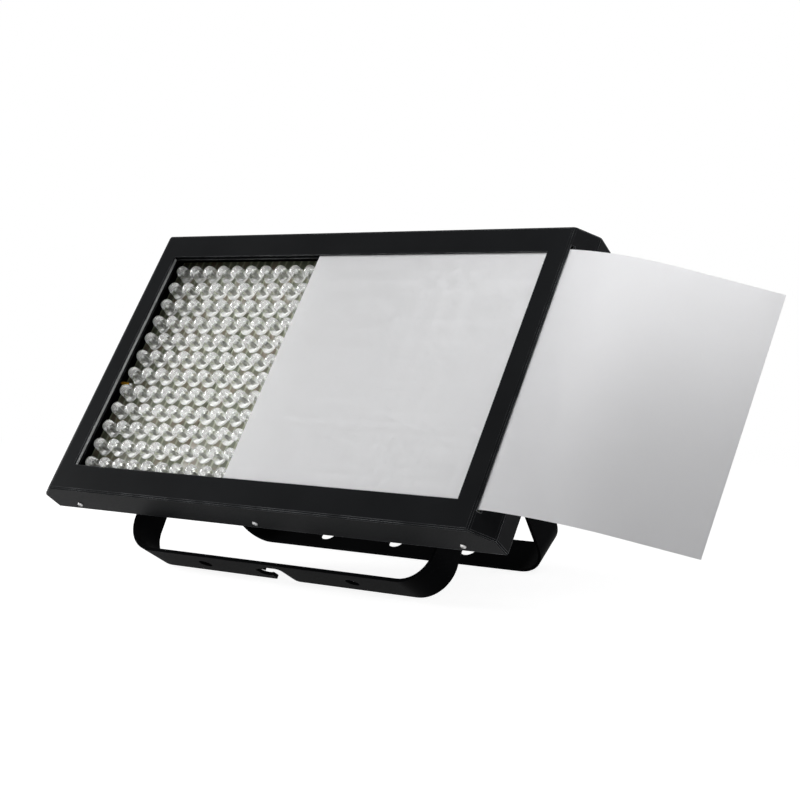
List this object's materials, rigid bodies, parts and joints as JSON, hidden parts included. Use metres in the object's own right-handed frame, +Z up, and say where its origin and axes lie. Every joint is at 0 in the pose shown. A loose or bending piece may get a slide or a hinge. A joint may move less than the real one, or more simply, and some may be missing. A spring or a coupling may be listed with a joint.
{
  "type": "led wash panel",
  "caption": "Flat LED colour-wash panel on two fold-out hanging brackets, with a slide-in frosted diffuser sheet, rear driver box, menu buttons, mains inlet and data sockets.",
  "frame": {"origin": "middle of the object's box, on the floor that it stands on", "axes": "+X to the panel's right, the way the diffuser slides out, +Y away from the viewer, +Z up"},
  "size_m": [0.5412, 0.2114, 0.2585],
  "materials": {
    "powder_coat": "semi-gloss black powder coat",
    "strap_paint": "semi-gloss black",
    "frosted_sheet": "frosted, translucent",
    "bright_aluminium": "bright",
    "zinc": "zinc plated",
    "led_board": "green board with clear LEDs",
    "circuit_board": "solder mask",
    "black_plastic": "fine grain",
    "nylon": "matt",
    "display_pane": "dark red, polished",
    "plated_contact": "plated",
    "wire_insulation": "satin orange",
    "led_lens": "clear",
    "lead_frame": "silver plated",
    "screw": "bright"
  },
  "bodies": {
    "housing": {"front_bezel": "powder_coat", "rear_cover": "powder_coat", "driver_box": "powder_coat", "diffuser_rail_top": "powder_coat", "diffuser_rail_bottom": "powder_coat", "diffuser_end_stop": "bright_aluminium", "led_board_1": "led_board", "led_board_2": "led_board", "led_board_3": "led_board", "led_board_4": "led_board", "board_rail_top": "zinc", "board_rail_bottom": "zinc", "led_wire": "wire_insulation", "power_supply": "circuit_board", "control_board": "circuit_board", "display_window": "display_pane", "mains_inlet": "black_plastic", "mains_pins": "plated_contact", "dmx_in_socket": "black_plastic", "dmx_in_pins": "plated_contact", "dmx_out_socket": "black_plastic", "safety_eye": "zinc", "pivot_bolt_left": "zinc", "pivot_bolt_right": "zinc", "inner_washer_left": "nylon", "inner_washer_right": "nylon", "middle_washer_left": "nylon", "middle_washer_right": "nylon", "outer_washer_left": "nylon", "outer_washer_right": "nylon"},
    "diffuser": {"diffuser_sheet": "frosted_sheet"},
    "front_hanger": {"front_bracket": "strap_paint"},
    "rear_hanger": {"rear_bracket": "strap_paint"},
    "knob_left": {"clamp_knob_left": "black_plastic"},
    "knob_right": {"clamp_knob_right": "black_plastic"},
    "button_1": {"menu_button_1": "black_plastic"},
    "button_2": {"menu_button_2": "black_plastic"},
    "button_3": {"menu_button_3": "black_plastic"},
    "button_4": {"menu_button_4": "black_plastic"},
    "latch": {"dmx_out_latch": "black_plastic"}
  },
  "joints": [
    {"name": "diffuser_slide", "type": "slide", "parent": "housing", "child": "diffuser", "axis": [1, 0, 0], "range_m": [-0.15, 0.145], "deforming": ["diffuser_sheet"]},
    {"name": "front_bracket_hinge", "type": "hinge", "parent": "housing", "child": "front_hanger", "pos_m": [-0.06319, 0.00796, 0.133], "axis": [1, 0, 0], "range_deg": [-8, 175]},
    {"name": "rear_bracket_hinge", "type": "hinge", "parent": "housing", "child": "rear_hanger", "pos_m": [-0.06319, 0.00796, 0.133], "axis": [1, 0, 0], "range_deg": [-71.5, 112]},
    {"name": "clamp_knob_left_turn", "type": "hinge", "parent": "housing", "child": "knob_left", "pos_m": [-0.21259, 0.00796, 0.133], "axis": [-1, 0, 0], "range_deg": [0, 360]},
    {"name": "clamp_knob_right_turn", "type": "hinge", "parent": "housing", "child": "knob_right", "pos_m": [0.08621, 0.00796, 0.133], "axis": [1, 0, 0], "range_deg": [0, 360]},
    {"name": "menu_button_1_press", "type": "slide", "parent": "housing", "child": "button_1", "axis": [0, -0.8124, 0.5831], "range_m": [0, 0.001], "stiffness_N_per_m": 400},
    {"name": "menu_button_2_press", "type": "slide", "parent": "housing", "child": "button_2", "axis": [0, -0.8124, 0.5831], "range_m": [0, 0.001], "stiffness_N_per_m": 400},
    {"name": "menu_button_3_press", "type": "slide", "parent": "housing", "child": "button_3", "axis": [0, -0.8124, 0.5831], "range_m": [0, 0.001], "stiffness_N_per_m": 400},
    {"name": "menu_button_4_press", "type": "slide", "parent": "housing", "child": "button_4", "axis": [0, -0.8124, 0.5831], "range_m": [0, 0.001], "stiffness_N_per_m": 400},
    {"name": "latch_press", "type": "slide", "parent": "housing", "child": "latch", "axis": [0, -0.8124, 0.5831], "range_m": [0, 0.0014], "stiffness_N_per_m": 500}
  ]
}
